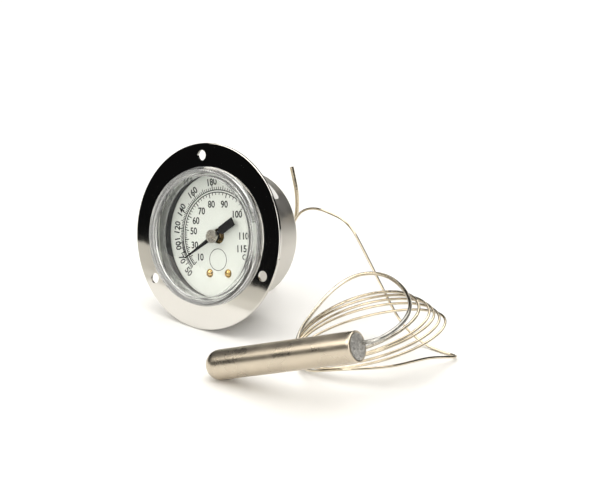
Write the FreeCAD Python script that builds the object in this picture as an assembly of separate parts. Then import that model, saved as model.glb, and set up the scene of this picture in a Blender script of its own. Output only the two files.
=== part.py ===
"""Panel-mount dial thermometer with a remote bulb on a coiled capillary.

Lengths are millimetres.  The gauge pieces are drawn upright in the gauge's
own frame: x to the right of the dial, y from the front to the back, z up,
with y = 0 on the rear face of the flange.  lean() then rolls the gauge and
leans it back on the lower edge of its flange, as it sits on a table.
The row frame is level: +Z up, origin at the bolt circle's centre.
"""
import FreeCAD, Part
import math
import os
from FreeCAD import Vector

# Pose of the gauge on the table, degrees
lean_back = 14.1
roll = 12.1

# Flange and case
flange_diameter = 73.0
flange_thickness = 1.0
flange_edge_round = 0.35
bolt_circle_diameter = 63.5
bolt_hole_diameter = 4.1
bolt_count = 3
bolt_turn = 1.6
neck_length = 4.0
neck_wall = 0.45
neck_fit = 0.02
case_diameter = 51.4
case_wall = 0.6
case_depth = 25.3
case_corner = 1.6

# Lens and gasket
lens_collar_diameter = 54.6
lens_rim_diameter = 53.0
lens_height = 3.8
lens_window = 1.5
lens_neck_wall = 0.95
lens_neck_depth = 3.0
lens_neck_clearance = 0.15
lens_gap = 0.05
gasket_width = 1.2
gasket_thickness = 0.45
gasket_margin = 0.1

# Dial
dial_front = 7.3
dial_thickness = 0.8
dial_clearance = 0.2
dial_hole_diameter = 6.2
dial_screw_x = 4.7
dial_screw_drop = 14.8
dial_screw_head = 3.5
dial_screw_dome = 1.1
dial_screw_shank = 2.1
dial_screw_slot = 0.5
screw_hole_clearance = 0.15
spacer_diameter = 4.4

# Movement plates
plate_thickness = 0.8
front_plate_front = 10.0
plate_gap = 5.2
plate_half_width = 11.0
plate_top = 10.0
plate_radius = 17.6
front_plate_bottom = -17.2
rear_plate_bottom = -15.3
pillar_places = ((8.5, -9.0), (8.5, 7.0), (-8.5, 7.0), (-9.5, -12.6))
pillar_diameter = 2.2
pillar_screw_head = 1.1
pillar_screw_shank = 0.6
pillar_screw_head_height = 0.7
base_screw_x = 5.5
base_screw_drop = 13.4
base_screw_head = 1.4
base_screw_head_height = 0.8
base_screw_shank = 0.8
base_screw_reach = 2.4
running_fit = 0.05

# Gears
gear_module = 0.25
pinion_teeth = 12
sector_teeth_full = 84
gear_backlash = 0.07
gear_centre_allowance = 0.05
pinion_width = 3.0
sector_thickness = 0.8
sector_side = 240.0
staff_diameter = 1.2
pivot_diameter = 0.8
bush_diameter = 4.8
bush_front = 8.4

# Pointer, in degrees counter-clockwise from three o'clock
pointer_rest = 210.0
pointer_length = 17.3
pointer_tail = 11.7
pointer_tail_width = 3.4
pointer_waist_width = 1.7
pointer_tip_width = 0.35
pointer_thickness = 0.4
pointer_standoff = 2.7
pointer_bush_diameter = 4.2
pointer_bush_length = 1.9
hub_diameter = 5.1
hub_thickness = 1.1
hub_stem_diameter = 3.0
hub_slot_width = 0.6
hub_slot_depth = 0.5
hub_slot_angle = 152.0
hub_lift = 4.5

# Sector tail, link and Bourdon tube
tail_length = 4.0
tail_angle = 103.86
link_length = 9.0
link_angle = 210.0
link_half_width = 0.9
link_thickness = 0.5
link_gap = 0.2
link_pin_radius = 0.5
link_open_clearance = 0.25
bourdon_radius = 19.5
bourdon_width = 7.0
bourdon_thickness = 2.2
bourdon_wall = 0.35
bourdon_start = -64.0
bourdon_end = 203.0
bourdon_front = 11.5
tip_gap = 1.5
tip_sweep = 6.0
hairspring_turns = 4.5
hairspring_outer = 6.0
hairspring_strip = 0.12
hairspring_height = 0.5
collet_diameter = 3.0

# Socket block and its screws
socket_case_clearance = 0.3
socket_width = 16.0
socket_top = -11.5
socket_bottom = -19.5
socket_foot_top = -15.6
socket_foot_bottom = -20.5
stem_diameter = 6.4
stem_length = 3.2
stem_clearance = 0.1
stem_spread = 1.5
socket_screw_x = 6.0
socket_screw_head = 3.4
socket_screw_head_height = 1.2
socket_screw_shank = 2.0
socket_screw_reach = 4.0

# Case label: a blank patch on the side of the case
label_angle = 45.0
label_arc = 24.0
label_front = 11.0
label_width = 13.0
label_thickness = 0.12
label_corner = 2.0

# Capillary, fill tail and bulb
capillary_diameter = 1.0
sleeve_diameter = 1.6
sleeve_straight = 5.0
tail_tube_diameter = 1.0
tail_solder_diameter = 1.7
bulb_diameter = 11.1
bulb_length = 63.5
bulb_wall = 0.8
bulb_azimuth = 8.7
bulb_rise = 19.4
bulb_tip_x = 38.7
bulb_tip_y = -37.3
plug_thickness = 3.0
plug_proud = 0.35
plug_clearance = 0.02
plug_groove = 0.6
sleeve_offset = 3.4

# Outer shape of the coiled capillary
coil_left = Vector(49.5, -9.0, -31.5)
coil_right = Vector(97.5, 20.5, -16.0)
coil_across = Vector(-11.0, 15.5, 5.0)
coil_band = 6.0
coil_thickness_left = 3.0
coil_thickness_right = 9.0

# The lead: out of the stem, over the top and down to the table, then forward
# under the bulb's raised end to the left end of the coil
lead_route = (
    (4.6, 34.6, -20.0), (9.4, 37.3, -10.8), (13.4, 37.6, -2.4),
    (17.4, 37.0, 3.4), (22.0, 36.4, 6.4), (28.0, 35.8, 7.6), (34.4, 35.0, 7.0),
    (39.8, 34.6, 5.6), (44.4, 34.2, 1.6), (48.4, 33.7, -3.6),
    (53.6, 33.0, -9.6), (59.0, 32.4, -16.4), (63.8, 31.7, -22.6),
    (68.6, 31.0, -28.2), (74.6, 30.2, -32.2), (81.6, 29.4, -34.3),
    (88.6, 28.6, -34.9), (94.6, 27.8, -34.9), (98.6, 25.6, -34.8),
    (98.4, 20.8, -34.4), (96.2, 13.6, -32.2), (94.6, 5.0, -29.6),
    (92.6, -5.0, -27.6), (89.2, -14.4, -26.2), (82.6, -21.2, -26.2),
    (73.4, -22.4, -29.0), (64.4, -18.8, -32.8), (57.4, -14.4, -33.6))

# The tinned stretch: from the bulb's soldered end over the top of the coil
sleeve_route = (
    (99.6, -20.0, -7.0), (99.8, -12.4, -5.8), (97.4, -4.4, -4.8),
    (92.2, 4.2, -3.7), (84.4, 12.4, -2.7), (74.4, 17.4, -2.8),
    (64.2, 17.0, -6.0), (56.6, 11.6, -14.0), (51.2, 4.4, -22.6),
    (48.6, -3.4, -29.4))

# The sealed fill tail: down under the lead to the table, then up beside the case
tail_route = (
    (3.9, 34.8, -26.6), (1.4, 39.6, -31.6), (-2.4, 43.4, -34.8),
    (-5.0, 46.6, -32.6), (-4.6, 47.6, -26.8), (-1.0, 47.0, -20.6),
    (3.4, 45.0, -14.2), (8.0, 42.6, -7.6))
tail_solder_route = (
    (12.9, 40.4, -0.4), (13.7, 40.1, 5.4), (13.4, 40.0, 11.2), (10.9, 40.0, 20.8))


def polar(radius, degrees):
    """Point in the gauge's dial plane, as (x, z)."""
    angle = math.radians(degrees)
    return radius * math.cos(angle), radius * math.sin(angle)


def lean(shape):
    """Place an upright gauge piece as it sits: rolled, then leant back."""
    rolled = shape.copy()
    rolled.rotate(Vector(0, 0, 0), Vector(0, -1, 0), roll)
    rolled.rotate(Vector(0, 0, 0), Vector(1, 0, 0), -lean_back)
    return rolled


def lean_point(x, y, z):
    return lean(Part.Vertex(x, y, z)).Point


def rod(radius, front, back, x=0.0, z=0.0):
    """Solid round rod along the gauge axis."""
    return Part.makeCylinder(radius, back - front, Vector(x, front, z), Vector(0, 1, 0))


def ring(outer, inner, front, back, x=0.0, z=0.0):
    overrun = 1.0
    return rod(outer, front, back, x, z).cut(
        rod(inner, front - overrun, back + overrun, x, z))


def slab(x_low, x_high, front, back, z_low, z_high):
    return Part.makeBox(x_high - x_low, back - front, z_high - z_low,
                        Vector(x_low, front, z_low))


def plate(outline, front, back):
    """Flat plate from a closed list of (x, z) points."""
    points = [Vector(x, front, z) for x, z in outline]
    points.append(points[0])
    face = Part.Face(Part.makePolygon(points))
    return face.extrude(Vector(0, back - front, 0))


def turned(profile):
    """Turn a closed list of (radius, y) points about the gauge axis."""
    points = [Vector(radius, y, 0) for radius, y in profile]
    points.append(points[0])
    face = Part.Face(Part.makePolygon(points))
    return face.revolve(Vector(0, 0, 0), Vector(0, 1, 0), 360)


def save(name, shape):
    if shape.ShapeType != "Solid" and len(shape.Solids) == 1:
        shape = shape.Solids[0]
    shape.exportStep("parts/" + name + ".step")
    print(name, len(shape.Solids), round(shape.Volume, 2), shape.isValid())


# Sizes that follow from the driving ones

flange_radius = flange_diameter / 2
case_radius = case_diameter / 2
case_inner = case_radius - case_wall
case_floor = case_depth - case_wall
case_floor_radius = case_inner - (case_corner - case_wall)
bolt_radius = bolt_circle_diameter / 2
table_z = -flange_radius * math.cos(math.radians(lean_back))
dial_back = dial_front + dial_thickness
front_plate_back = front_plate_front + plate_thickness
rear_plate_front = front_plate_back + plate_gap
rear_plate_back = rear_plate_front + plate_thickness
gear_ratio = sector_teeth_full / pinion_teeth
pinion_pitch = gear_module * pinion_teeth / 2
sector_pitch = gear_module * sector_teeth_full / 2
gear_centres = pinion_pitch + sector_pitch + gear_centre_allowance
sector_x, sector_z = polar(gear_centres, sector_side)
staff_radius = staff_diameter / 2
pivot_radius = pivot_diameter / 2
collet_front = front_plate_back + 0.25
collet_back = collet_front + 0.75
pinion_front = collet_back + 0.15
pinion_back = pinion_front + pinion_width
sector_front = pinion_front + 0.9
sector_back = sector_front + sector_thickness
link_front = sector_back + link_gap
link_back = link_front + link_thickness
hub_front = dial_front - hub_lift
hub_back = hub_front + hub_thickness
blade_back = dial_front - pointer_standoff
blade_front = blade_back - pointer_thickness
bush_start = hub_back + 0.15
socket_foot_front = front_plate_back + 0.3
stem_end = case_depth + stem_length


# Flange, case and label

def bolt_places():
    for index in range(bolt_count):
        yield polar(bolt_radius, 90 + bolt_turn + index * 360 / bolt_count)


def make_front_flange():
    neck_inner = case_radius + neck_fit
    disc = rod(flange_radius, -flange_thickness, 0)
    edges = [edge for edge in disc.Edges
             if edge.Curve.TypeId == "Part::GeomCircle"
             and edge.CenterOfMass.y < -flange_thickness / 2]
    disc = disc.makeFillet(flange_edge_round, edges)
    disc = disc.cut(rod(case_inner, -flange_thickness - 1, 1))
    for x, z in bolt_places():
        disc = disc.cut(rod(bolt_hole_diameter / 2, -flange_thickness - 1, 1, x, z))
    return disc.fuse(ring(neck_inner + neck_wall, neck_inner, 0, neck_length))


def make_case():
    cup = rod(case_radius, running_fit, case_depth)
    rear = [edge for edge in cup.Edges
            if edge.Curve.TypeId == "Part::GeomCircle"
            and edge.CenterOfMass.y > case_floor]
    cup = cup.makeFillet(case_corner, rear)
    inside = rod(case_inner, running_fit - 1, case_floor)
    rear = [edge for edge in inside.Edges
            if edge.Curve.TypeId == "Part::GeomCircle"
            and edge.CenterOfMass.y > case_floor - 1]
    cup = cup.cut(inside.makeFillet(case_corner - case_wall, rear))
    stem_hole = stem_diameter / 2 + stem_clearance
    cup = cup.cut(rod(stem_hole, case_floor - 1, case_depth + 1, 0, -dial_screw_drop))
    for side in (-1, 1):
        cup = cup.cut(rod(socket_screw_shank / 2 + screw_hole_clearance,
                          case_floor - 1, case_depth + 1,
                          side * socket_screw_x, -dial_screw_drop))
    return cup


def make_case_label():
    inner = case_radius + neck_fit
    patch = ring(inner + label_thickness, inner, label_front, label_front + label_width)
    middle_x, middle_z = polar(case_radius, label_angle)
    half_arc = case_radius * math.radians(label_arc / 2)
    window = Part.makeBox(2 * half_arc, label_width, case_radius,
                          Vector(-half_arc, label_front, 0))
    corners = [edge for edge in window.Edges
               if abs(edge.CenterOfMass.z - case_radius / 2) < 0.01]
    window = window.makeFillet(label_corner, corners)
    window.rotate(Vector(0, 0, 0), Vector(0, -1, 0), label_angle - 90)
    window.translate(Vector(middle_x / 2, 0, middle_z / 2))
    return patch.common(window)


# Lens and gasket

def make_lens():
    collar = lens_collar_diameter / 2
    rim = lens_rim_diameter / 2
    neck = case_inner - lens_neck_clearance
    bore = neck - lens_neck_wall
    seat = -flange_thickness - lens_gap
    front = -flange_thickness - lens_height
    groove = seat - gasket_thickness
    groove_inner = collar - 0.6 - gasket_width - 2 * gasket_margin
    profile = ((0, front), (rim - 0.7, front), (rim - 0.2, front + 0.2),
               (rim, front + 0.7), (collar, seat - 0.8), (collar, seat),
               (collar - 0.6, seat), (collar - 0.6, groove),
               (groove_inner, groove), (groove_inner, seat), (neck, seat),
               (neck, lens_neck_depth), (bore, lens_neck_depth),
               (bore, front + lens_window), (0, front + lens_window))
    return turned(profile)


def make_lens_gasket():
    outer = lens_collar_diameter / 2 - 0.6 - gasket_margin
    back = -flange_thickness
    return ring(outer, outer - gasket_width, back - gasket_thickness, back)


# Dial and what holds it

def dial_screw_places():
    return ((-dial_screw_x, -dial_screw_drop), (dial_screw_x, -dial_screw_drop))


def make_dial_plate():
    dial = rod(case_inner - dial_clearance, dial_front, dial_back)
    dial = dial.cut(rod(dial_hole_diameter / 2, dial_front - 1, dial_back + 1))
    for x, z in dial_screw_places():
        hole = dial_screw_shank / 2 + screw_hole_clearance
        dial = dial.cut(rod(hole, dial_front - 1, dial_back + 1, x, z))
    return dial


def make_dial_screws():
    """Dome-head brass screws through the dial into the front plate."""
    screws = []
    head = dial_screw_head / 2
    ball = (head ** 2 + dial_screw_dome ** 2) / (2 * dial_screw_dome)
    for x, z in dial_screw_places():
        dome = Part.makeSphere(ball, Vector(x, dial_front - dial_screw_dome + ball, z))
        dome = dome.common(rod(head, dial_front - dial_screw_dome, dial_front, x, z))
        slot = slab(x - head, x + head, dial_front - dial_screw_dome - 1,
                    dial_front - dial_screw_dome + 0.4,
                    z - dial_screw_slot / 2, z + dial_screw_slot / 2)
        shank = rod(dial_screw_shank / 2, dial_front, front_plate_back, x, z)
        screws.append(dome.cut(slot).fuse(shank))
    return Part.makeCompound(screws)


def make_dial_spacers():
    bore = dial_screw_shank / 2 + screw_hole_clearance
    return Part.makeCompound([
        ring(spacer_diameter / 2, bore, dial_back, front_plate_front, x, z)
        for x, z in dial_screw_places()])


# Movement frame

def movement_plate(front, bottom):
    back = front + plate_thickness
    blank = slab(-plate_half_width, plate_half_width, front, back, bottom, plate_top)
    return blank.common(rod(plate_radius, front, back))


def make_movement_front_plate():
    front, back = front_plate_front, front_plate_back
    body = movement_plate(front, front_plate_bottom)
    body = body.cut(rod(bush_diameter / 2 - 0.6, front - 1, back + 1))
    body = body.cut(rod(pivot_radius + running_fit, front - 1, back + 1,
                        sector_x, sector_z))
    for x, z in dial_screw_places():
        body = body.cut(rod(dial_screw_shank / 2, front - 1, back + 1, x, z))
    for x, z in pillar_places:
        body = body.cut(rod(pillar_screw_shank, front - 1, back + 1, x, z))
    return body


def make_staff_bush():
    """Flanged brass bearing of the pointer staff, seen through the dial."""
    bore = staff_radius + running_fit
    flange = ring(bush_diameter / 2, bore, bush_front, front_plate_front)
    return flange.fuse(ring(bush_diameter / 2 - 0.6, bore,
                            front_plate_front, front_plate_back))


def make_movement_rear_plate():
    front, back = rear_plate_front, rear_plate_back
    body = movement_plate(front, rear_plate_bottom)
    for x, z in ((0, 0), (sector_x, sector_z)):
        body = body.cut(rod(pivot_radius + running_fit, front - 1, back + 1, x, z))
    for side in (-1, 1):
        body = body.cut(rod(base_screw_shank, front - 1, back + 1,
                            side * base_screw_x, -base_screw_drop))
    return body


def make_movement_pillars():
    pillars = []
    for x, z in pillar_places:
        pillar = rod(pillar_diameter / 2, front_plate_back, rear_plate_front, x, z)
        thread = rod(pillar_screw_shank, front_plate_back, front_plate_back + 3, x, z)
        pillars.append(pillar.cut(thread))
    return Part.makeCompound(pillars)


def slotted_screw(x, z, head, height, shank, seat, reach):
    """Cheese-head screw driven from the front, its head on the plane y = seat."""
    body = rod(head, seat - height, seat, x, z)
    body = body.cut(slab(x - head, x + head, seat - height - 1,
                         seat - height / 2, z - head / 7, z + head / 7))
    return body.fuse(rod(shank, seat, seat + reach, x, z))


def make_movement_screws():
    return Part.makeCompound([
        slotted_screw(x, z, pillar_screw_head, pillar_screw_head_height,
                      pillar_screw_shank, front_plate_front, plate_thickness + 3)
        for x, z in pillar_places])


def make_base_screws():
    return Part.makeCompound([
        slotted_screw(side * base_screw_x, -base_screw_drop, base_screw_head,
                      base_screw_head_height, base_screw_shank,
                      rear_plate_front, plate_thickness + base_screw_reach)
        for side in (-1, 1)])


# Gears

def tooth_outline(teeth, centre_angle):
    """One tooth standing on its root circle, as (x, z) points about the axis."""
    pitch = gear_module * teeth / 2
    tip = pitch + 0.75 * gear_module
    root = pitch - 1.1 * gear_module
    half_pitch_angle = math.degrees((math.pi * gear_module / 4 - gear_backlash / 2) / pitch)
    slope = math.tan(math.radians(20))
    points = []
    for side in (-1, 1):
        flank = []
        for radius in (root - 0.12, root, pitch, tip):
            spread = math.degrees((pitch - radius) * slope / radius)
            if radius > pitch:
                spread = 1.25 * spread
            flank.append(polar(radius, centre_angle + side * (half_pitch_angle + spread)))
        points += flank if side < 0 else flank[::-1]
    return points


def make_pinion_staff():
    root = pinion_pitch - 1.1 * gear_module
    body = rod(staff_radius, hub_front + 0.6, pinion_front)
    body = body.fuse(rod(root, pinion_front, pinion_back))
    body = body.fuse(rod(pivot_radius + 0.2, pinion_back, rear_plate_front - 0.15))
    body = body.fuse(rod(pivot_radius, rear_plate_front - 0.15, rear_plate_back + 0.15))
    for index in range(pinion_teeth):
        angle = sector_side + (index + 0.5) * 360 / pinion_teeth
        body = body.fuse(plate(tooth_outline(pinion_teeth, angle),
                               pinion_front, pinion_back))
    return body.removeSplitter()


def make_sector_gear():
    """Toothed sector, its hub and the tail that the link pulls."""
    rim_low, rim_high = 15.0, 71.0
    root = sector_pitch - 1.1 * gear_module
    tooth_step = 360 / sector_teeth_full
    away = sector_side - 180
    arc = [polar(root, rim_low + step * (rim_high - rim_low) / 28) for step in range(29)]
    body = plate([(0, 0)] + arc, sector_front, sector_back)
    window_low, window_high = rim_low + 9, rim_high - 9
    window = [polar(root - 2.0, window_low + step * (window_high - window_low) / 14)
              for step in range(15)]
    window += [polar(3.4, window_high), polar(3.4, window_low)]
    body = body.cut(plate(window, sector_front - 1, sector_back + 1))
    for index in range(-10, 3):
        outline = tooth_outline(sector_teeth_full, away + index * tooth_step)
        body = body.fuse(plate(outline, sector_front, sector_back))
    pin_x, pin_z = polar(tail_length, tail_angle)
    side_x, side_z = polar(1.0, tail_angle + 90)
    tail = [(side_x, side_z), (-side_x, -side_z),
            (pin_x - side_x, pin_z - side_z), (pin_x + side_x, pin_z + side_z)]
    body = body.fuse(plate(tail, sector_front, sector_back))
    body = body.fuse(rod(1.1, sector_front, sector_back, pin_x, pin_z))
    body = body.fuse(rod(1.7, sector_front - 0.5, sector_back))
    body = body.cut(rod(staff_radius, sector_front - 2, sector_back + 2))
    body = body.cut(rod(link_pin_radius, sector_front - 1, sector_back + 1, pin_x, pin_z))
    body.translate(Vector(sector_x, 0, sector_z))
    return body.removeSplitter()


def make_sector_arbor():
    x, z = sector_x, sector_z
    shoulder = 0.15
    body = rod(staff_radius, front_plate_back + shoulder, rear_plate_front - shoulder, x, z)
    return body.fuse(rod(pivot_radius, front_plate_front - shoulder,
                         rear_plate_back + shoulder, x, z))


# Hairspring

def spiral_edge(offset, front):
    inner = collet_diameter / 2 + 0.12
    count = 24 * int(hairspring_turns) + 12
    points = []
    for index in range(count + 1):
        part = index / count
        radius = inner + (hairspring_outer - inner) * part + offset
        x, z = polar(radius, 360 * hairspring_turns * part)
        points.append(Vector(x, front, z))
    curve = Part.BSplineCurve()
    curve.interpolate(points)
    return curve.toShape(), points[0], points[-1]


def make_hairspring():
    front = collet_front + 0.1
    inner, inner_start, inner_end = spiral_edge(0.0, front)
    outer, outer_start, outer_end = spiral_edge(hairspring_strip, front)
    outline = Part.Wire([inner, Part.makeLine(inner_end, outer_end), outer,
                         Part.makeLine(outer_start, inner_start)])
    return Part.Face(outline).extrude(Vector(0, hairspring_height, 0))


def make_hairspring_collet():
    return ring(collet_diameter / 2, staff_radius, collet_front, collet_back)


def make_hairspring_stud():
    """Post on the front plate that the spring's outer end is pinned to."""
    angle = 360 * hairspring_turns
    x, z = polar(hairspring_outer + hairspring_strip + 0.5, angle)
    return rod(0.5, front_plate_back, collet_back, x, z)


# Pointer

def make_pointer_hub():
    """Slotted hub on the staff: turning it against the pointer sets the reading."""
    body = rod(hub_diameter / 2, hub_front, hub_back)
    slot = slab(-hub_diameter, hub_diameter, hub_front - 1, hub_front + hub_slot_depth,
                -hub_slot_width / 2, hub_slot_width / 2)
    slot.rotate(Vector(0, 0, 0), Vector(0, -1, 0), hub_slot_angle)
    body = body.cut(slot)
    bush_end = bush_start + pointer_bush_length
    body = body.fuse(rod(hub_stem_diameter / 2, hub_back, bush_end + 0.1))
    return body.cut(rod(staff_radius, hub_front + 0.6, bush_end + 1))


def make_pointer():
    bush_end = bush_start + pointer_bush_length
    waist = pointer_waist_width / 2
    tip = pointer_tip_width / 2
    tail = pointer_tail_width / 2
    outline = [(pointer_length, -tip), (pointer_length, tip), (2.4, waist), (-3.6, waist),
               (-4.2, tail), (-pointer_tail, tail), (-pointer_tail, -tail), (-4.2, -tail),
               (-3.6, -waist), (2.4, -waist)]
    body = plate(outline, blade_front, blade_back)
    body = body.fuse(rod(pointer_bush_diameter / 2, bush_start, bush_end))
    body = body.cut(rod(hub_stem_diameter / 2 + running_fit, bush_start - 1, bush_end + 1))
    body.rotate(Vector(0, 0, 0), Vector(0, -1, 0), pointer_rest)
    return body


# Link, its pins and the Bourdon tube

def link_ends():
    tail_x, tail_z = polar(tail_length, tail_angle)
    near = (sector_x + tail_x, sector_z + tail_z)
    along_x, along_z = polar(link_length, link_angle)
    return near, (near[0] + along_x, near[1] + along_z)


def make_link():
    near, far = link_ends()
    side_x, side_z = polar(link_half_width, link_angle + 90)
    strip = [(near[0] + side_x, near[1] + side_z), (near[0] - side_x, near[1] - side_z),
             (far[0] - side_x, far[1] - side_z), (far[0] + side_x, far[1] + side_z)]
    body = plate(strip, link_front, link_back)
    for x, z in (near, far):
        body = body.fuse(rod(link_half_width + 0.3, link_front, link_back, x, z))
    holes = ((near, link_pin_radius + running_fit),
             (far, link_pin_radius + link_open_clearance))
    for (x, z), radius in holes:
        body = body.cut(rod(radius, link_front - 1, link_back + 1, x, z))
    return body.removeSplitter()


def headed_pin(place):
    """Pin pressed into an ear, with a head that keeps the link on."""
    x, z = place
    shank = rod(link_pin_radius, sector_front, link_back + 0.1, x, z)
    return shank.fuse(rod(link_pin_radius + 0.45, link_back + 0.1, link_back + 0.35, x, z))


def flat_tube_section(width, thickness):
    """Outline of the flattened tube, a slot with round ends, as a wire."""
    half = (width - thickness) / 2
    radius = thickness / 2
    middle = bourdon_front + bourdon_width / 2

    def place(sideways, along):
        return Vector(bourdon_radius + sideways, middle + along, 0)

    edges = [Part.LineSegment(place(radius, -half), place(radius, half)).toShape(),
             Part.Arc(place(radius, half), place(0, half + radius),
                      place(-radius, half)).toShape(),
             Part.LineSegment(place(-radius, half), place(-radius, -half)).toShape(),
             Part.Arc(place(-radius, -half), place(0, -half - radius),
                      place(radius, -half)).toShape()]
    return Part.Wire(edges)


def swept_ring(section, start, end):
    """Turn a section about the gauge axis from one dial angle to another."""
    face = Part.Face(section)
    face.rotate(Vector(0, 0, 0), Vector(0, -1, 0), start)
    return face.revolve(Vector(0, 0, 0), Vector(0, -1, 0), end - start)


def make_bourdon_tube():
    outer = swept_ring(flat_tube_section(bourdon_width, bourdon_thickness),
                       bourdon_start, bourdon_end)
    hollow = swept_ring(
        flat_tube_section(bourdon_width - 2 * bourdon_wall,
                          bourdon_thickness - 2 * bourdon_wall),
        bourdon_start, bourdon_end - 0.6)
    return outer.cut(hollow)


def make_bourdon_tip():
    """End block of the tube, with an ear for the link pin."""
    start = bourdon_end + tip_gap
    body = swept_ring(flat_tube_section(bourdon_width - 0.4, bourdon_thickness),
                      start, start + tip_sweep)
    _, (pin_x, pin_z) = link_ends()
    heel_x, heel_z = polar(bourdon_radius, start + tip_sweep / 2)
    run_x, run_z = pin_x - heel_x, pin_z - heel_z
    length = math.hypot(run_x, run_z)
    side_x, side_z = -run_z / length, run_x / length
    ear = [(heel_x + side_x, heel_z + side_z), (heel_x - side_x, heel_z - side_z),
           (pin_x - side_x, pin_z - side_z), (pin_x + side_x, pin_z + side_z)]
    body = body.fuse(plate(ear, sector_front, sector_back))
    body = body.fuse(rod(1.0, sector_front, sector_back, pin_x, pin_z))
    body = body.cut(rod(link_pin_radius, sector_front - 1, sector_back + 1, pin_x, pin_z))
    return body


# Socket block

def make_socket_block():
    """Brass block that carries the tube, the movement and the rear stem."""
    half = socket_width / 2
    body = slab(-half, half, rear_plate_back, case_floor, socket_bottom, socket_top)
    foot = slab(-half, half, socket_foot_front, case_floor,
                socket_foot_bottom, socket_foot_top)
    body = body.fuse(foot)
    body = body.common(rod(case_floor_radius - socket_case_clearance, 0, case_floor))
    body = body.fuse(rod(stem_diameter / 2, case_floor, stem_end, 0, -dial_screw_drop))
    body = body.cut(swept_ring(flat_tube_section(bourdon_width, bourdon_thickness),
                               bourdon_start - 0.5, bourdon_end))
    for side in (-1, 1):
        body = body.cut(rod(base_screw_shank, rear_plate_back - 1,
                            rear_plate_back + base_screw_reach,
                            side * base_screw_x, -base_screw_drop))
        body = body.cut(rod(socket_screw_shank / 2, case_floor - socket_screw_reach,
                            case_floor + 1, side * socket_screw_x, -dial_screw_drop))
    return body.removeSplitter()


def make_socket_screws():
    """Pan-head screws from behind the case into the socket block."""
    screws = []
    head = socket_screw_head / 2
    for side in (-1, 1):
        x, z = side * socket_screw_x, -dial_screw_drop
        body = rod(head, case_depth, case_depth + socket_screw_head_height, x, z)
        body = body.cut(slab(x - head, x + head,
                             case_depth + socket_screw_head_height / 2,
                             case_depth + socket_screw_head_height + 1,
                             z - 0.3, z + 0.3))
        shank = rod(socket_screw_shank / 2, case_floor - socket_screw_reach,
                    case_depth, x, z)
        screws.append(body.fuse(shank))
    return Part.makeCompound(screws)


# Tubes of the capillary

def tube(name, route, diameter):
    """Round tube along straight runs joined by arcs as large as the runs allow."""
    points = [Vector(*point) for point in route]
    share = 0.45
    edges = []
    radii = []
    here = points[0]
    for before, corner, after in zip(points, points[1:], points[2:]):
        inward = (corner - before).normalize()
        outward = (after - corner).normalize()
        turn = inward.getAngle(outward)
        reach = share * min((corner - before).Length, (after - corner).Length)
        radius = reach / math.tan(turn / 2)
        radii.append(round(radius, 1))
        middle = (outward - inward).normalize()
        sagitta = radius / math.cos(turn / 2) - radius
        start = corner - inward * reach
        end = corner + outward * reach
        edges.append(Part.LineSegment(here, start).toShape())
        edges.append(Part.Arc(start, corner + middle * sagitta, end).toShape())
        here = end
    edges.append(Part.LineSegment(here, points[-1]).toShape())
    path = Part.Wire(edges)
    heading = (points[1] - points[0]).normalize()
    section = Part.Wire(Part.makeCircle(diameter / 2, points[0], heading))
    solid = path.makePipeShell([section], True, False)
    expected = math.pi * diameter ** 2 / 4 * path.Length
    print(name, "length", round(path.Length, 1), "volume ratio",
          round(solid.Volume / expected, 3), "radii", radii)
    return solid


def stem_exit(side):
    """Two points straight out of the stem's end face, on one side of its middle."""
    return [tuple(lean_point(side * stem_spread, stem_end + reach, -dial_screw_drop))
            for reach in (0.0, 5.0)]


def bulb_frame():
    """Bulb's tip-end ball centre, its axis towards the soldered end, and its side."""
    azimuth = math.radians(bulb_azimuth)
    rise = math.radians(bulb_rise)
    axis = Vector(math.cos(rise) * math.cos(azimuth),
                  math.cos(rise) * math.sin(azimuth), math.sin(rise))
    tip = Vector(bulb_tip_x, bulb_tip_y, table_z + bulb_diameter / 2)
    side = Vector(0, 0, 1).cross(axis).normalize()
    return tip, axis, side


def bulb_end():
    tip, axis, _ = bulb_frame()
    return tip + axis * (bulb_length - bulb_diameter / 2)


def make_capillary_lead():
    return tube("lead", stem_exit(-1) + list(lead_route), capillary_diameter)


def make_capillary_sleeve():
    _, axis, side = bulb_frame()
    start = bulb_end() + axis * plug_proud + side * sleeve_offset
    straight = start + axis * sleeve_straight
    return tube("sleeve", [tuple(start), tuple(straight)] + list(sleeve_route),
                sleeve_diameter)


def make_fill_tail():
    return tube("tail", stem_exit(1) + list(tail_route) + [tail_solder_route[0]],
                tail_tube_diameter)


def make_fill_tail_solder():
    return tube("tail solder", tail_solder_route, tail_solder_diameter)


def make_capillary_coil():
    """Outer shape of the loose coil: an inclined oval band, thicker at the right."""
    centre = (coil_left + coil_right) * 0.5
    along = coil_right - centre
    long_half = along.Length
    along.normalize()
    across = coil_across - along * coil_across.dot(along)
    short_half = across.Length
    across.normalize()
    normal = along.cross(across)
    outer = Part.Ellipse(Vector(0, 0, 0), long_half, short_half)
    inner = Part.Ellipse(Vector(0, 0, 0), long_half - coil_band, short_half - coil_band)
    height = coil_thickness_right
    band = Part.Face(Part.Wire(outer.toShape())).extrude(Vector(0, 0, 2 * height))
    hole = Part.Face(Part.Wire(inner.toShape())).extrude(Vector(0, 0, 2 * height))
    band = band.cut(hole)
    band.translate(Vector(0, 0, -height))
    left = coil_thickness_left / 2
    right = coil_thickness_right / 2
    margin = 1.0
    wedge = Part.Face(Part.makePolygon([
        Vector(-long_half - margin, 0, -left), Vector(long_half + margin, 0, -right),
        Vector(long_half + margin, 0, right), Vector(-long_half - margin, 0, left),
        Vector(-long_half - margin, 0, -left)]))
    wedge = wedge.extrude(Vector(0, 2 * short_half + 2 * margin, 0))
    wedge.translate(Vector(0, -short_half - margin, 0))
    band = band.common(wedge)
    matrix = FreeCAD.Matrix(along.x, across.x, normal.x, centre.x,
                            along.y, across.y, normal.y, centre.y,
                            along.z, across.z, normal.z, centre.z,
                            0, 0, 0, 1)
    band.transformShape(matrix)
    return band


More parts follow.
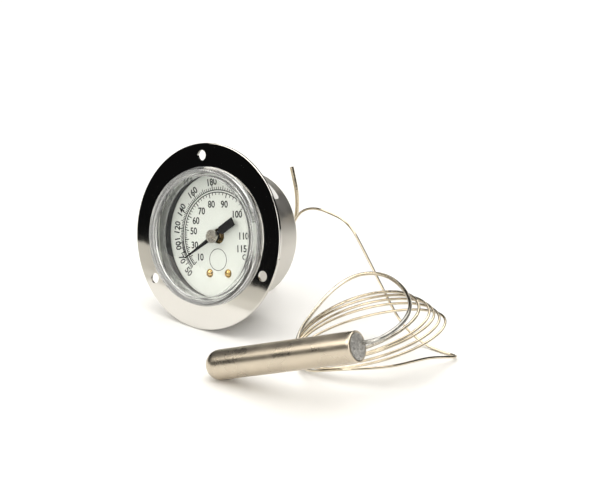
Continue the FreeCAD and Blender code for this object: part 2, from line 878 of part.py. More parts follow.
# Bulb

def make_bulb_shell():
    """Drawn tube with a round closed end, open at its soldered end."""
    tip, axis, _ = bulb_frame()
    radius = bulb_diameter / 2
    end = bulb_end()
    length = (end - tip).Length
    body = Part.makeCylinder(radius, length, tip, axis).fuse(Part.makeSphere(radius, tip))
    inner = radius - bulb_wall
    hollow = Part.makeCylinder(inner, length + 1, tip, axis)
    hollow = hollow.fuse(Part.makeSphere(inner, tip))
    return body.cut(hollow).removeSplitter()


def make_bulb_end_plug():
    """Soldered end disc, slightly proud, with a ring groove at its edge."""
    _, axis, _ = bulb_frame()
    radius = bulb_diameter / 2 - bulb_wall - plug_clearance
    start = bulb_end() - axis * (plug_thickness - plug_proud)
    body = Part.makeCylinder(radius, plug_thickness, start, axis)
    rim = Part.makeCylinder(radius + 1, plug_proud, bulb_end(), axis).cut(
        Part.makeCylinder(radius - plug_groove, plug_proud, bulb_end(), axis))
    return body.cut(rim)


GAUGE_PIECES = {
    "front_flange": make_front_flange,
    "case": make_case,
    "case_label": make_case_label,
    "lens": make_lens,
    "lens_gasket": make_lens_gasket,
    "dial_plate": make_dial_plate,
    "dial_screws": make_dial_screws,
    "dial_spacers": make_dial_spacers,
    "movement_front_plate": make_movement_front_plate,
    "staff_bush": make_staff_bush,
    "movement_rear_plate": make_movement_rear_plate,
    "movement_pillars": make_movement_pillars,
    "movement_screws": make_movement_screws,
    "base_screws": make_base_screws,
    "pinion_staff": make_pinion_staff,
    "sector_gear": make_sector_gear,
    "sector_arbor": make_sector_arbor,
    "hairspring": make_hairspring,
    "hairspring_collet": make_hairspring_collet,
    "hairspring_stud": make_hairspring_stud,
    "pointer_hub": make_pointer_hub,
    "pointer": make_pointer,
    "link": make_link,
    "sector_link_pin": lambda: headed_pin(link_ends()[0]),
    "tip_link_pin": lambda: headed_pin(link_ends()[1]),
    "bourdon_tube": make_bourdon_tube,
    "bourdon_tip": make_bourdon_tip,
    "socket_block": make_socket_block,
    "socket_screws": make_socket_screws,
}

TABLE_PIECES = {
    "fill_tail": make_fill_tail,
    "fill_tail_solder": make_fill_tail_solder,
    "capillary_lead": make_capillary_lead,
    "capillary_coil": make_capillary_coil,
    "capillary_sleeve": make_capillary_sleeve,
    "bulb_shell": make_bulb_shell,
    "bulb_end_plug": make_bulb_end_plug,
}

os.makedirs("parts", exist_ok=True)
for name, make in GAUGE_PIECES.items():
    save(name, lean(make()))
for name, make in TABLE_PIECES.items():
    save(name, make())
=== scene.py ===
import math
import bmesh
import bpy
from mathutils import Matrix, Vector, noise


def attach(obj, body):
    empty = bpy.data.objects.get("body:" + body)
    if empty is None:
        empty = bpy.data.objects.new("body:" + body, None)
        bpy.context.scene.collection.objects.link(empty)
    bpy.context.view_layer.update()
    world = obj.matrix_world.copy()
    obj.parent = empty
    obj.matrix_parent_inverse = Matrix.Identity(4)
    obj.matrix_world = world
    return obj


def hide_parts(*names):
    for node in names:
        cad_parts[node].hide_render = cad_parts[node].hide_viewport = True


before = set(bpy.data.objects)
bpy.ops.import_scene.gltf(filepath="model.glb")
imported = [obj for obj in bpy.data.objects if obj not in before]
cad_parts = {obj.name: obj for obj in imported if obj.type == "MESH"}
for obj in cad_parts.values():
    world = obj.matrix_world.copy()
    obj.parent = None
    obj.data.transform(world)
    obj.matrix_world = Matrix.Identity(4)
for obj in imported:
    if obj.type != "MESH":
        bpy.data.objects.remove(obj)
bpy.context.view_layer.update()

# Table, lamps and camera.  The thermometer sits on a wide white table in a dark
# room, under one large soft lamp hung above and a little behind it, with a weaker
# lamp in front.  A low white card stands on the table far off to the front left.
def join_scene(name, data):
    thing = bpy.data.objects.new(name, data)
    bpy.context.collection.objects.link(thing)
    return thing


def finish(name, colour, roughness, metallic=0.0, wander=0.06, patch=0.006,
           grain=0.0006, relief=0.1):
    """A surface whose colour and shine wander over patches, with a fine raised grain."""
    material = bpy.data.materials.new(name)
    material.use_nodes = True
    nodes, links = material.node_tree.nodes, material.node_tree.links
    shader = nodes["Principled BSDF"]
    shader.inputs["Metallic"].default_value = metallic
    place = nodes.new("ShaderNodeTexCoord")
    patches = nodes.new("ShaderNodeTexNoise")
    patches.inputs["Scale"].default_value = 1 / patch
    patches.inputs["Detail"].default_value = 5
    links.new(place.outputs["Object"], patches.inputs["Vector"])
    tone = nodes.new("ShaderNodeValToRGB")
    tone.name = "tone"
    for stop, at, shade in zip(tone.color_ramp.elements, (0.3, 0.7), (1 - wander, 1 + wander)):
        stop.position = at
        stop.color = (*[min(1, part * shade) for part in colour], 1)
    links.new(patches.outputs["Fac"], tone.inputs["Fac"])
    links.new(tone.outputs["Color"], shader.inputs["Base Color"])
    shine = nodes.new("ShaderNodeMapRange")
    shine.name = "shine"
    for socket, value in (("From Min", 0.3), ("From Max", 0.7),
                          ("To Min", 0.8 * roughness), ("To Max", 1.25 * roughness)):
        shine.inputs[socket].default_value = value
    links.new(patches.outputs["Fac"], shine.inputs["Value"])
    links.new(shine.outputs["Result"], shader.inputs["Roughness"])
    fine = nodes.new("ShaderNodeTexNoise")
    fine.name = "grain"
    fine.inputs["Scale"].default_value = 1 / grain
    fine.inputs["Detail"].default_value = 3
    links.new(place.outputs["Object"], fine.inputs["Vector"])
    raised = nodes.new("ShaderNodeBump")
    raised.name = "raised"
    raised.inputs["Strength"].default_value = relief
    raised.inputs["Distance"].default_value = grain
    links.new(fine.outputs["Fac"], raised.inputs["Height"])
    links.new(raised.outputs["Normal"], shader.inputs["Normal"])
    return material


def solid(name, shape, material, crease=30):
    """Turns a finished bmesh into a piece, smooth except where faces meet at over crease."""
    mesh = bpy.data.meshes.new(name)
    shape.to_mesh(mesh)
    shape.free()
    mesh.shade_smooth()
    mesh.set_sharp_from_angle(angle=math.radians(crease))
    mesh.materials.append(material)
    return join_scene(name, mesh)


table_height = -0.0354
table_reach = 5.0
table_paint = finish("table_white", (0.92, 0.915, 0.9), 0.7, patch=0.3, wander=0.01,
                     relief=0.0)
top = bmesh.new()
bmesh.ops.create_grid(top, x_segments=8, y_segments=8, size=table_reach)
bmesh.ops.translate(top, verts=top.verts, vec=(0, 0, table_height))
table = solid("table", top, table_paint)

card_corners = ((-1.2, -0.58, 0.0), (-0.48, -0.93, 0.0),
                (-0.62, -1.2, 0.014), (-1.55, -0.75, 0.105))
card_thickness = 0.003
card_white = finish("card_white", (0.8, 0.79, 0.76), 0.8, patch=0.3, wander=0.02, relief=0.0)
sheet = bmesh.new()
sheet.faces.new([sheet.verts.new((x, y, table_height + z)) for x, y, z in card_corners])
bmesh.ops.solidify(sheet, geom=sheet.faces[:], thickness=card_thickness)
card = solid("card", sheet, card_white)


def hang_lamp(name, place, aim, size, watts, colour):
    """A square soft lamp of that width, turned to shine at aim."""
    light = bpy.data.lights.new(name, "AREA")
    light.size = size
    light.energy = watts
    light.color = colour
    lamp = join_scene(name, light)
    lamp.location = place
    lamp.rotation_euler = (Vector(aim) - Vector(place)).to_track_quat("-Z", "Y").to_euler()


hang_lamp("lamp_above", (-0.02, 0.5, 1.35), (-0.02, 0.3, 0), 2.3, 39, (1.0, 0.985, 0.95))
hang_lamp("lamp_front", (0.35, -1.15, 0.42), (0.03, 0, 0), 0.8, 7, (1.0, 0.98, 0.94))
hang_lamp("lamp_left", (-0.85, -1.15, 1.1), (-0.8, -1.05, 0), 1.2, 15, (1.0, 0.97, 0.9))

# The room is dark to everything but the camera, which sees a pale wall past the table.
wall_colour = (0.93, 0.925, 0.91, 1)
room = bpy.data.worlds.new("room")
room.use_nodes = True
nodes, links = room.node_tree.nodes, room.node_tree.links
around = nodes.new("ShaderNodeTexCoord")
parts = nodes.new("ShaderNodeSeparateXYZ")
dusk = nodes.new("ShaderNodeValToRGB")
for stop, at, level in zip(dusk.color_ramp.elements, (0.25, 0.8), (0.006, 0.12)):
    stop.position = at
    stop.color = (level, level, 1.05 * level, 1)
links.new(around.outputs["Generated"], parts.inputs["Vector"])
links.new(parts.outputs["Z"], dusk.inputs["Fac"])
looking = nodes.new("ShaderNodeLightPath")
backdrop = nodes.new("ShaderNodeMix")
backdrop.data_type = "RGBA"
backdrop.inputs[7].default_value = wall_colour
links.new(looking.outputs["Is Camera Ray"], backdrop.inputs[0])
links.new(dusk.outputs["Color"], backdrop.inputs[6])
links.new(backdrop.outputs[2], nodes["Background"].inputs["Color"])
bpy.context.scene.world = room
bpy.context.scene.view_settings.view_transform = "Standard"

camera_tilt, camera_heading = 70, 37.54
view = bpy.data.cameras.new("camera")
view.lens = 78
view.sensor_width = 36
camera = join_scene("camera", view)
camera.location = (0.3199, -0.3566, 0.1724)
camera.rotation_euler = (math.radians(camera_tilt), 0, math.radians(camera_heading))
bpy.context.scene.camera = camera

# Capillary.  One fine drawn nickel-silver tube, 1.0 mm thick and about 1.05 m long,
# soldered into the stem behind the case.  It stands in an arch, comes down to the
# table, turns forward in a tight bend and winds five loose turns before the bulb.
capillary_diameter = 0.001
lead_route = (
    (0.001636, 0.024039, -0.021283), (0.001636, 0.028889, -0.022501),
    (0.0046, 0.0346, -0.02), (0.0094, 0.0373, -0.0108), (0.0134, 0.0376, -0.0024),
    (0.0172, 0.037, 0.0034), (0.022, 0.0364, 0.0064), (0.028, 0.0358, 0.0076),
    (0.0344, 0.035, 0.0071), (0.0404, 0.0346, 0.0062), (0.0454, 0.0342, 0.0032),
    (0.0496, 0.0338, -0.002), (0.0548, 0.0332, -0.0086), (0.0602, 0.0326, -0.0158),
    (0.0652, 0.032, -0.0222), (0.07, 0.0316, -0.028), (0.076, 0.0312, -0.0322),
    (0.083, 0.0306, -0.0346), (0.0894, 0.0298, -0.0349), (0.0948, 0.0298, -0.0348),
    (0.098, 0.0284, -0.0342), (0.0972, 0.024, -0.033), (0.0948, 0.0156, -0.0306),
    (0.0936, 0.006, -0.0288), (0.0924, -0.005, -0.027), (0.0894, -0.015, -0.025),
    (0.0834, -0.022, -0.0244), (0.0744, -0.0228, -0.0272), (0.0652, -0.0194, -0.0316),
    (0.0574, -0.0148, -0.0336))
first_left, last_left = Vector((0.051, -0.0105, -0.0336)), Vector((0.0474, -0.0064, -0.0314))
right_ends = ((0.0968, 0.0215, -0.017), (0.0954, 0.0196, -0.0156), (0.0936, 0.0188, -0.0144),
              (0.0922, 0.0176, -0.0132), (0.089, 0.0154, -0.0118))
back_sides = ((-0.0115, 0.014, 0.0012), (-0.0125, 0.0152, 0.0025), (-0.012, 0.0154, 0.0032),
              (-0.0124, 0.0154, 0.0036), (-0.0109, 0.0146, 0.0043))
front_sides = ((0.0115, -0.0145, -0.0016), (0.0106, -0.014, -0.0018), (0.01, -0.0142, -0.0014),
               (0.0104, -0.0136, -0.002), (0.0104, -0.0128, -0.002))
points_per_turn = 16
sleeve_route = (
    (0.092543, -0.025621, -0.010485), (0.097205, -0.024908, -0.008824),
    (0.0996, -0.02, -0.007), (0.0998, -0.0124, -0.0058), (0.0974, -0.0044, -0.0046),
    (0.0914, 0.0046, -0.0046), (0.082, 0.013, -0.0042), (0.071, 0.0178, -0.004),
    (0.0604, 0.0174, -0.0064), (0.0528, 0.0124, -0.0122), (0.0478, 0.0054, -0.0214),
    (0.0462, -0.0026, -0.0288))

coil_route = []
for turn, (right, back, front) in enumerate(zip(right_ends, back_sides, front_sides)):
    for step in range(points_per_turn):
        done = (turn + step / points_per_turn) / len(right_ends)
        left = first_left.lerp(last_left, done)
        middle, half = (left + Vector(right)) / 2, (Vector(right) - left) / 2
        angle = math.pi - 2 * math.pi * step / points_per_turn
        across = Vector(back) if math.sin(angle) > 0 else -Vector(front)
        coil_route.append(middle + half * math.cos(angle) + across * math.sin(angle))
route = [*lead_route, *coil_route, *reversed(sleeve_route)]

cord = bpy.data.curves.new("capillary", "CURVE")
cord.dimensions = "3D"
line = cord.splines.new("NURBS")
line.points.add(len(route) - 1)
for point, place in zip(line.points, route):
    point.co = (*place, 1.0)
line.order_u = 3
line.use_endpoint_u = True
line.resolution_u = 8
capillary = join_scene("capillary", cord)
centre_line = [Vector(v.co) for v in bpy.data.meshes.new_from_object(capillary).vertices]
cord.bevel_depth = capillary_diameter / 2
cord.bevel_resolution = 4
cord.use_fill_caps = True
bare_colour, bare_roughness = (0.64, 0.565, 0.44), 0.07
nickel_silver = finish("nickel_silver", bare_colour, bare_roughness, 1.0, wander=0.14,
                       patch=0.005, grain=0.0006, relief=0.02)
cord.materials.append(nickel_silver)
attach(capillary, "gauge")
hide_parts("capillary_lead", "capillary_coil")

# Tinned sleeve.  The last stretch of the capillary, into the bulb, is dipped in
# solder, so it is thicker, dull grey and a little uneven along its length.
sleeve_radius = 0.0008
sleeve_end_radius = 0.00056
solder_stops, bare_starts = -0.012, 0.012
tin = finish("tinned_sleeve", (0.44, 0.43, 0.4), 0.3, 1.0, wander=0.2, patch=0.0022,
             grain=0.0006, relief=0.2)
nodes, links = tin.node_tree.nodes, tin.node_tree.links
parts = nodes.new("ShaderNodeSeparateXYZ")
thin = nodes.new("ShaderNodeMapRange")
thin.inputs["From Min"].default_value = solder_stops
thin.inputs["From Max"].default_value = bare_starts
links.new(nodes["Texture Coordinate"].outputs["Object"], parts.inputs["Vector"])
links.new(parts.outputs["Y"], thin.inputs["Value"])
for socket, kind, value, before, after, result in (
        ("Base Color", "RGBA", (*bare_colour, 1), 6, 7, 2),
        ("Roughness", "FLOAT", bare_roughness, 2, 3, 0)):
    into = nodes["Principled BSDF"].inputs[socket]
    blend = nodes.new("ShaderNodeMix")
    blend.data_type = kind
    links.new(thin.outputs["Result"], blend.inputs[0])
    links.new(into.links[0].from_socket, blend.inputs[before])
    blend.inputs[after].default_value = value
    links.new(blend.outputs[result], into)
nearest = min(range(len(centre_line)),
              key=lambda i: (centre_line[i] - Vector(sleeve_route[-1])).length)
dipped = centre_line[nearest:]
coat = bpy.data.curves.new("sleeve_path", "CURVE")
coat.dimensions = "3D"
run = coat.splines.new("POLY")
run.points.add(len(dipped) - 1)
for number, (point, place) in enumerate(zip(run.points, dipped)):
    along = number / (len(dipped) - 1)
    swell = 1 + 0.05 * noise.noise(place * 260)
    point.co = (*place, 1.0)
    point.radius = swell * (sleeve_end_radius + (sleeve_radius - sleeve_end_radius)
                            * along ** 1.5) / sleeve_radius
coat.bevel_depth = sleeve_radius
coat.bevel_resolution = 4
coat.use_fill_caps = True
shape = bmesh.new()
shape.from_mesh(bpy.data.meshes.new_from_object(bpy.data.objects.new("sleeve_path", coat)))
bmesh.ops.recalc_face_normals(shape, faces=shape.faces)
sleeve = solid("tinned_sleeve", shape, tin)
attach(sleeve, "gauge")
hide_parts("capillary_sleeve")

# Bulb.  A deep-drawn copper tube, nickel plated, round at one end; the other end is
# closed by a rough disc of solder inside the rolled rim, where the sleeve goes in.
# Handling has left it finely scratched, with copper showing warm through the plate.
bulb_radius, bulb_length = 0.0111 / 2, 0.0635
bulb_wall = 0.0008
rim_round = 0.0004
bulb_mouth = Vector((0.092731, -0.029032, -0.010601))
bulb_axis = Vector((0.93237, 0.14267, 0.33216))
plate = finish("bulb_nickel", (0.58, 0.51, 0.41), 0.3, 1.0, wander=0.06, patch=0.009,
               grain=0.0007, relief=0.03)
turn_to_bulb = (Matrix.Translation(bulb_mouth)
                @ Vector((0, 0, 1)).rotation_difference(bulb_axis).to_matrix().to_4x4())


def bow(centre, height, radius, start, end, steps=5):
    """Points of an arc in a profile about (centre, height), from start to end in degrees."""
    turns = [math.radians(start + (end - start) * k / steps) for k in range(steps + 1)]
    return [(centre + radius * math.cos(a), height + radius * math.sin(a)) for a in turns]


tip_height = bulb_radius - bulb_length
inside = bulb_radius - bulb_wall
side = [tip_height + (-rim_round - tip_height) * k / 40 for k in range(1, 41)]
profile = [*bow(0, tip_height, bulb_radius, -90, 0, 14), *[(bulb_radius, z) for z in side],
           *bow(bulb_radius - rim_round, -rim_round, rim_round, 30, 150, 4),
           (inside, -0.0005), *bow(0, tip_height, inside, 0, -90, 10)]
shape = bmesh.new()
ends = [shape.verts.new((radius, 0, height)) for radius, height in profile]
edges = [shape.edges.new(pair) for pair in zip(ends, ends[1:])]
bmesh.ops.spin(shape, geom=[*ends, *edges], cent=(0, 0, 0), axis=(0, 0, 1),
               angle=2 * math.pi, steps=72, use_merge=True)
bmesh.ops.remove_doubles(shape, verts=shape.verts, dist=0.000001)
bmesh.ops.recalc_face_normals(shape, faces=shape.faces)
dent_depth = 0.00003
for v in shape.verts:
    if v.co.xy.length > inside + bulb_wall / 2:
        dent = dent_depth * noise.noise(v.co * 140) + 0.00001 * noise.noise(v.co * 420)
        v.co.xy *= 1 + (dent - dent_depth) / v.co.xy.length
bmesh.ops.transform(shape, verts=shape.verts, matrix=turn_to_bulb)
bulb = solid("bulb_tube", shape, plate, crease=40)
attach(bulb, "gauge")
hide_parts("bulb_shell")

solder = finish("rough_solder", (0.5, 0.49, 0.47), 0.36, 1.0, wander=0.3, patch=0.0012,
                grain=0.0007, relief=0.9)
plug_radius = bulb_radius - bulb_wall - 0.00003
plug_depth = 0.0019
shape = bmesh.new()
bmesh.ops.create_circle(shape, cap_ends=True, segments=40, radius=plug_radius)
face = bmesh.ops.extrude_face_region(shape, geom=shape.faces[:])
raised = [v for v in face["geom"] if isinstance(v, bmesh.types.BMVert)]
bmesh.ops.translate(shape, verts=raised, vec=(0, 0, plug_depth))
front = [f for f in face["geom"] if isinstance(f, bmesh.types.BMFace)]
for _ in range(7):
    bmesh.ops.inset_region(shape, faces=front, thickness=plug_radius / 8.5)
bmesh.ops.recalc_face_normals(shape, faces=shape.faces)
for v in shape.verts:
    if v.co.z > 0.001:
        out = v.co.xy.length / plug_radius
        lump = noise.noise(v.co * 900) * 0.00022 + noise.noise(v.co * 2100) * 0.0001
        v.co.z += (0.00025 * (1 - out * out) + lump) * min(1, 4 * (1 - out) + 0.2)
bmesh.ops.transform(shape, verts=shape.verts,
                    matrix=turn_to_bulb @ Matrix.Translation((0, 0, -plug_depth)))
plug = solid("bulb_solder", shape, solder, crease=60)
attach(plug, "gauge")
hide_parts("bulb_end_plug")

# Front flange.  A steel pressing, ground and mirror polished, with three screw holes
# and a short neck pressed over the case.  The polish leaves only faint waviness.
mirror = finish("mirror_steel", (0.66, 0.645, 0.61), 0.035, 1.0, wander=0.015, patch=0.02,
                grain=0.02, relief=0.0012)


def clad(material, *names):
    """Gives CAD pieces a finish."""
    for name in names:
        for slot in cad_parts[name].material_slots:
            slot.material = material


clad(mirror, "front_flange")

# Case.  A cup drawn from thin steel and left satin, with the fine rings of the
# drawing die round its side; a small blank paper label is stuck on it.
case_radius, case_wall, case_depth, case_corner = 0.0257, 0.0006, 0.0253, 0.0016
mouth, lens_reach, dial_level = 0.00005, 0.0032, 0.0073
gauge_turn = (Matrix.Rotation(math.radians(-14.1), 4, "X")
              @ Matrix.Rotation(math.radians(12.1), 4, Vector((0, -1, 0))))


def turned(profile, steps=120, close=False):
    """Spins a profile of (radius, depth) pairs about the gauge's axis."""
    shape = bmesh.new()
    ends = [shape.verts.new((radius, depth, 0)) for radius, depth in profile]
    pairs = list(zip(ends, ends[1:])) + ([(ends[-1], ends[0])] if close else [])
    edges = [shape.edges.new(pair) for pair in pairs]
    bmesh.ops.spin(shape, geom=[*ends, *edges], cent=(0, 0, 0), axis=(0, 1, 0),
                   angle=2 * math.pi, steps=steps, use_merge=True)
    bmesh.ops.remove_doubles(shape, verts=shape.verts, dist=0.000001)
    bmesh.ops.recalc_face_normals(shape, faces=shape.faces)
    bmesh.ops.transform(shape, verts=shape.verts, matrix=gauge_turn)
    return shape


def rings(material, width, strength):
    """Replaces a finish's grain by fine rings round the gauge's axis, width apart."""
    nodes, links = material.node_tree.nodes, material.node_tree.links
    upright = nodes.new("ShaderNodeMapping")
    upright.vector_type = "TEXTURE"
    upright.inputs["Rotation"].default_value = gauge_turn.to_euler()
    upright.inputs["Scale"].default_value = (1, 0.02, 1)
    links.new(nodes["Texture Coordinate"].outputs["Object"], upright.inputs["Vector"])
    links.new(upright.outputs["Vector"], nodes["grain"].inputs["Vector"])
    nodes["grain"].inputs["Scale"].default_value = 0.02 / width
    nodes["raised"].inputs["Strength"].default_value = strength
    nodes["raised"].inputs["Distance"].default_value = width


satin = finish("satin_steel", (0.62, 0.6, 0.56), 0.4, 1.0, wander=0.05, patch=0.012)
rings(satin, 0.0004, 0.05)
# Painted shade: the inner wall between the lens neck and the dial is painted black for the
# shade in the gap in front of the dial. The steel there is the same satin steel as outside.
shade_black_wall = finish("case_inside_painted_shade", (0.03, 0.03, 0.032), 0.5, wander=0.1, patch=0.003,
                      grain=0.0004, relief=0.1)
outer, inner = case_radius, case_radius - case_wall
rear = case_depth - case_corner
profile = [(outer, mouth), *bow(outer - case_corner, rear, case_corner, 0, 90),
           (0, case_depth), (0, case_depth - case_wall),
           *bow(outer - case_corner, rear, case_corner - case_wall, 90, 0),
           (inner, dial_level), (inner, lens_reach), (inner, mouth)]
case = solid("drawn_case", turned(profile, close=True), satin)
case.data.materials.append(shade_black_wall)
# Painted shade: the inner wall under the lens neck is painted dark grey for the shade inside
# the case mouth.
case.data.materials.append(finish("case_mouth_painted_shade", (0.3, 0.3, 0.29), 0.45, 0.8, wander=0.1,
                                  patch=0.004, grain=0.0004, relief=0.08))
upright = gauge_turn.inverted()
# Inner wall faces get the painted shade: dark grey under the lens neck, black from there to
# the dial.
for face in case.data.polygons:
    middle = upright @ face.center
    if math.hypot(middle.x, middle.z) < inner + case_wall / 3:
        if middle.y < lens_reach:
            face.material_index = 2
        elif middle.y < dial_level:
            face.material_index = 1
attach(case, "gauge")
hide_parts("case")

label_angle, label_arc = 45, 24
label_front, label_width, label_corner = 0.011, 0.0082, 0.0018
paper = finish("label_paper", (0.84, 0.83, 0.81), 0.55, wander=0.02, patch=0.002,
               grain=0.0002, relief=0.1)
shape = bmesh.new()
half = outer * math.radians(label_arc / 2)
blank = [shape.verts.new((x, y, 0)) for x, y in (
    (-half, label_front), (half, label_front),
    (half, label_front + label_width), (-half, label_front + label_width))]
shape.faces.new(blank)
bmesh.ops.bevel(shape, geom=blank, offset=label_corner, offset_type="OFFSET",
                affect="VERTICES", segments=6, profile=0.5, material=-1)
for cut in range(1, 24):
    bmesh.ops.bisect_plane(shape, geom=[*shape.verts, *shape.edges, *shape.faces],
                           plane_co=(half * (cut / 12 - 1), 0, 0), plane_no=(1, 0, 0))
for v in shape.verts:
    a = math.radians(label_angle) - v.co.x / outer
    v.co = ((outer + 0.00003) * math.cos(a), v.co.y, (outer + 0.00003) * math.sin(a))
bmesh.ops.recalc_face_normals(shape, faces=shape.faces)
bmesh.ops.solidify(shape, geom=shape.faces[:], thickness=-0.0001)
bmesh.ops.recalc_face_normals(shape, faces=shape.faces)
bmesh.ops.transform(shape, verts=shape.verts, matrix=gauge_turn)
label = solid("blank_label", shape, paper)
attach(label, "gauge")
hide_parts("case_label")

# Socket block, its screws and the filling tail.  A brass block screwed to the case
# floor carries the tubes; the filling tail stands up behind the case and its cut end
# is sealed in a long dip of dull solder.
brass = finish("machined_brass", (0.62, 0.44, 0.2), 0.26, 1.0, wander=0.08, patch=0.003,
               grain=0.0003, relief=0.1)
steel = finish("zinc_screws", (0.58, 0.57, 0.55), 0.25, 1.0, wander=0.08, patch=0.002,
               grain=0.0003, relief=0.1)
clad(brass, "socket_block")
clad(steel, "socket_screws")
clad(nickel_silver, "fill_tail")
clad(tin, "fill_tail_solder")

# Bourdon tube.  A flattened phosphor-bronze tube bent to a C, brazed into the block,
# with a small end block and a hinged link to the sector.
bronze = finish("tube_bronze", (0.55, 0.34, 0.2), 0.3, 1.0, wander=0.12, patch=0.004,
                grain=0.0004, relief=0.1)
ground = finish("ground_steel", (0.5, 0.5, 0.51), 0.28, 1.0, wander=0.06, patch=0.002,
                grain=0.0002, relief=0.1)
clad(bronze, "bourdon_tube")
clad(brass, "bourdon_tip", "link")
clad(ground, "sector_link_pin", "tip_link_pin")

# Movement.  Two stamped brass plates on four pillars hold the toothed sector and the
# pinion staff in drilled bearings; a flat hairspring takes up the play.
clad(brass, "movement_front_plate", "movement_rear_plate", "movement_pillars", "sector_gear",
     "staff_bush", "hairspring_collet", "hairspring_stud")
clad(steel, "movement_screws", "base_screws")
clad(ground, "sector_arbor", "pinion_staff")
clad(bronze, "hairspring")

# Dial.  A thin plate enamelled off-white, held by two brass dome-head screws on
# sleeves, and printed in black with two scales back to back on a double arc.
dial_front = dial_level
ink_height = 0.00003
enamel = finish("dial_enamel", (0.68, 0.705, 0.66), 0.42, wander=0.015, patch=0.004,
                grain=0.0004, relief=0.03)
domed = finish("dome_brass", (0.85, 0.58, 0.24), 0.14, 1.0, wander=0.08, patch=0.001,
               grain=0.0003, relief=0.1)
clad(enamel, "dial_plate")
clad(domed, "dial_screws")
clad(brass, "dial_spacers")

fahrenheit = ((50, 222), (70, 206), (100, 188), (120, 171), (140, 151), (160, 126.5),
              (180, 97.4), (200, 63), (220, 22), (240, -28))
celsius = ((10, 222), (30, 197), (50, 171.5), (60, 152), (70, 130), (80, 104), (90, 74),
           (100, 40.5), (110, -1), (115, -24))
outer_arc, inner_arc = 0.0182, 0.0173
arc_start, arc_end, arc_width = -28, 222, 0.0004
f_ticks, c_ticks = (0.0025, 0.0018, 0.0012), (0.0019, 0.0011)
long_tick_width, short_tick_width = 0.0004, 0.00032
number_radius_f, number_radius_c = 0.0214, 0.0128
number_height = 0.00275
number_squeeze = 0.94
ring_centre, ring_radius, ring_width = (-0.0003, -0.0094), 0.0043, 0.00024


def bearing(value, marks):
    """The angle of a reading: a smooth curve through the marks on either side of it."""
    last = len(marks) - 1
    i = max(k for k in range(last) if marks[k][0] <= value)
    slopes = []
    for k in (i, i + 1):
        (a, p), (b, q) = marks[max(k - 1, 0)], marks[min(k + 1, last)]
        slopes.append((q - p) / (b - a))
    (a, p), (b, q) = marks[i], marks[i + 1]
    h = b - a
    t = (value - a) / h
    return ((2 * t**3 - 3 * t**2 + 1) * p + (t**3 - 2 * t**2 + t) * h * slopes[0]
            + (3 * t**2 - 2 * t**3) * q + (t**3 - t**2) * h * slopes[1])


def on_dial(radius, degrees, turn=0.0):
    """Places flat artwork, drawn in x and y, on the dial face."""
    a = math.radians(degrees)
    return (gauge_turn
            @ Matrix.Translation((radius * math.cos(a), dial_front, radius * math.sin(a)))
            @ Matrix.Rotation(math.radians(turn), 4, Vector((0, -1, 0)))
            @ Matrix.Rotation(math.radians(90), 4, "X"))


def print_bar(art, radius, degrees, length, width):
    """A tick that runs along the radius, centred at radius."""
    made = bmesh.ops.create_cube(art, size=1)["verts"]
    bmesh.ops.transform(art, verts=made, matrix=on_dial(radius, degrees, degrees)
                        @ Matrix.Diagonal((length, width, 2 * ink_height, 1)))


def print_arc(art, radius, start, end, width, centre=(0, 0), turns_whole=False):
    """A thin line bent round centre from start to end."""
    corners = [art.verts.new((radius + r, 0, z)) for r, z in (
        (-width / 2, -ink_height), (width / 2, -ink_height),
        (width / 2, ink_height), (-width / 2, ink_height))]
    face = art.faces.new(corners)
    begun = Matrix.Rotation(math.radians(start), 4, "Z")
    bmesh.ops.transform(art, verts=corners, matrix=begun)
    if turns_whole:
        art.faces.remove(face)
        rim = [art.edges.get((corners[k], corners[(k + 1) % 4])) or
               art.edges.new((corners[k], corners[(k + 1) % 4])) for k in range(4)]
        spun = [*corners, *rim]
    else:
        spun = [face]
    before = set(art.verts) - set(corners)
    bmesh.ops.spin(art, geom=spun, cent=(0, 0, 0), axis=(0, 0, 1),
                   angle=math.radians(end - start), steps=90, use_merge=turns_whole)
    made = [v for v in art.verts if v not in before]
    bmesh.ops.transform(art, verts=made, matrix=gauge_turn
                        @ Matrix.Translation((centre[0], dial_front, centre[1]))
                        @ Matrix.Rotation(math.radians(90), 4, "X"))


def print_number(art, text, radius, degrees, turn, height):
    """A number or letter, centred at radius and turned by turn from upright."""
    letters = bpy.data.curves.new("number", "FONT")
    letters.body = text
    letters.size = height / 0.72
    letters.align_x = "CENTER"
    letters.align_y = "CENTER"
    letters.offset = height * 0.032
    letters.extrude = ink_height
    letters.resolution_u = 4
    flat = bpy.data.meshes.new_from_object(bpy.data.objects.new("number", letters))
    flat.transform(on_dial(radius, degrees, turn) @ Matrix.Diagonal((number_squeeze, 1, 1, 1)))
    art.from_mesh(flat)


art = bmesh.new()
for radius in (outer_arc, inner_arc):
    print_arc(art, radius, arc_start, arc_end, arc_width)
print_arc(art, ring_radius, 0, 360, ring_width, ring_centre, True)
for reading in range(50, 241, 2):
    length = f_ticks[0 if reading % 20 == 0 else 1 if reading % 10 == 0 else 2]
    print_bar(art, outer_arc + length / 2, bearing(reading, fahrenheit), length,
              long_tick_width if reading % 20 == 0 else short_tick_width)
for reading in range(10, 116, 2):
    length = c_ticks[0 if reading % 10 == 0 else 1]
    print_bar(art, inner_arc - length / 2, bearing(reading, celsius), length,
              long_tick_width if reading % 10 == 0 else short_tick_width)
for reading in (50, 70, 100, 120, 140, 160, 180, 200, 220, 240):
    at = bearing(reading, fahrenheit)
    print_number(art, str(reading), number_radius_f, at, at + (90 if reading <= 100 else -90),
                 number_height)
for reading in (10, 30, 50, 60, 70, 80, 90, 100, 110, 115):
    print_number(art, str(reading), number_radius_c, bearing(reading, celsius), 0,
                 number_height)
for letter, radius, degrees in (("C", 0.0155, -33), ("F", 0.0221, -38)):
    print_number(art, letter, radius, degrees, 0, number_height * 0.8)
ink = finish("printing_ink", (0.012, 0.012, 0.014), 0.5, wander=0.2, patch=0.001,
             grain=0.0002, relief=0.05)
printing = solid("dial_printing", art, ink)
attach(printing, "gauge")

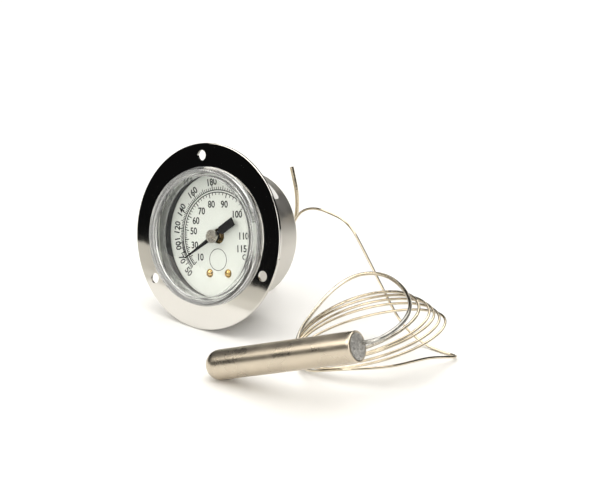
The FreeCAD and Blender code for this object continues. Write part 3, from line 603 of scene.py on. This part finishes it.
# Pointer and hub.  The pointer is stamped from aluminium and painted matt black; its
# slotted steel hub grips the staff, and a screwdriver in the slot sets the reading.
matt_black = finish("pointer_paint", (0.014, 0.014, 0.015), 0.45, wander=0.15, patch=0.001,
                    grain=0.00025, relief=0.12)
hub_steel = finish("hub_steel", (0.5, 0.47, 0.42), 0.3, 1.0, wander=0.08, patch=0.001,
                   grain=0.0003, relief=0.03)
matt_black.node_tree.nodes["Principled BSDF"].inputs["Specular IOR Level"].default_value = 0.15
clad(matt_black, "pointer")
clad(hub_steel, "pointer_hub")

# Lens and gasket.  A clear moulded plastic window with a raised rim, sprung into the
# case mouth on a short neck, over a thin rubber ring.
clear = bpy.data.materials.new("clear_plastic")
clear.use_nodes = True
nodes, links = clear.node_tree.nodes, clear.node_tree.links
shader = nodes["Principled BSDF"]
shader.inputs["Base Color"].default_value = (0.97, 0.98, 0.98, 1)
shader.inputs["Transmission Weight"].default_value = 1.0
shader.inputs["Roughness"].default_value = 0.0
shader.inputs["IOR"].default_value = 1.49
place = nodes.new("ShaderNodeTexCoord")
ripple = nodes.new("ShaderNodeTexNoise")
ripple.inputs["Scale"].default_value = 260
links.new(place.outputs["Object"], ripple.inputs["Vector"])
raised = nodes.new("ShaderNodeBump")
raised.inputs["Strength"].default_value = 0.01
raised.inputs["Distance"].default_value = 0.0005
links.new(ripple.outputs["Fac"], raised.inputs["Height"])
links.new(raised.outputs["Normal"], shader.inputs["Normal"])
passes = nodes.new("ShaderNodeBsdfTransparent")
rays = nodes.new("ShaderNodeLightPath")
both = nodes.new("ShaderNodeMixShader")
links.new(rays.outputs["Is Shadow Ray"], both.inputs["Fac"])
links.new(shader.outputs["BSDF"], both.inputs[1])
links.new(passes.outputs["BSDF"], both.inputs[2])
links.new(both.outputs["Shader"], nodes["Material Output"].inputs["Surface"])

collar, rim, neck, window = 0.0273, 0.0265, 0.02495, 0.0237
neck_wall, neck_depth, pane = 0.00095, 0.003, 0.0015
seat, front, groove = -0.00105, -0.0048, -0.0015
profile = ((0, front + 0.0004), (window, front + 0.0004), (window + 0.0005, front),
           (rim - 0.0007, front), (rim - 0.0002, front + 0.0002), (rim, front + 0.0007),
           (collar, seat - 0.0008), (collar, seat),
           (collar - 0.0006, seat), (collar - 0.0006, groove), (collar - 0.002, groove),
           (collar - 0.002, seat), (neck, seat), (neck, neck_depth),
           (neck - neck_wall, neck_depth), (neck - neck_wall, front + pane), (0, front + pane))
lens = solid("clear_lens", turned(profile), clear, crease=20)
# Painted reflection: the raised rim is made milky, and its diffuse white stands in for the
# bright highlights of the lamp above on the rim.
rim_reflection_paint = clear.copy()
rim_reflection_paint.name = "milky_rim_painted_reflection"
shader = rim_reflection_paint.node_tree.nodes["Principled BSDF"]
shader.inputs["Transmission Weight"].default_value = 0.88
shader.inputs["Roughness"].default_value = 0.12
shader.inputs["Base Color"].default_value = (0.86, 0.87, 0.87, 1)
lens.data.materials.append(rim_reflection_paint)
for face in lens.data.polygons:
    middle = upright @ face.center
    if middle.y < -0.001 and math.hypot(middle.x, middle.z) > window:
        face.material_index = 1
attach(lens, "gauge")
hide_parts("lens")
rubber = finish("gasket_rubber", (0.02, 0.02, 0.02), 0.6, wander=0.1, patch=0.002,
                grain=0.0003, relief=0.2)
clad(rubber, "lens_gasket")
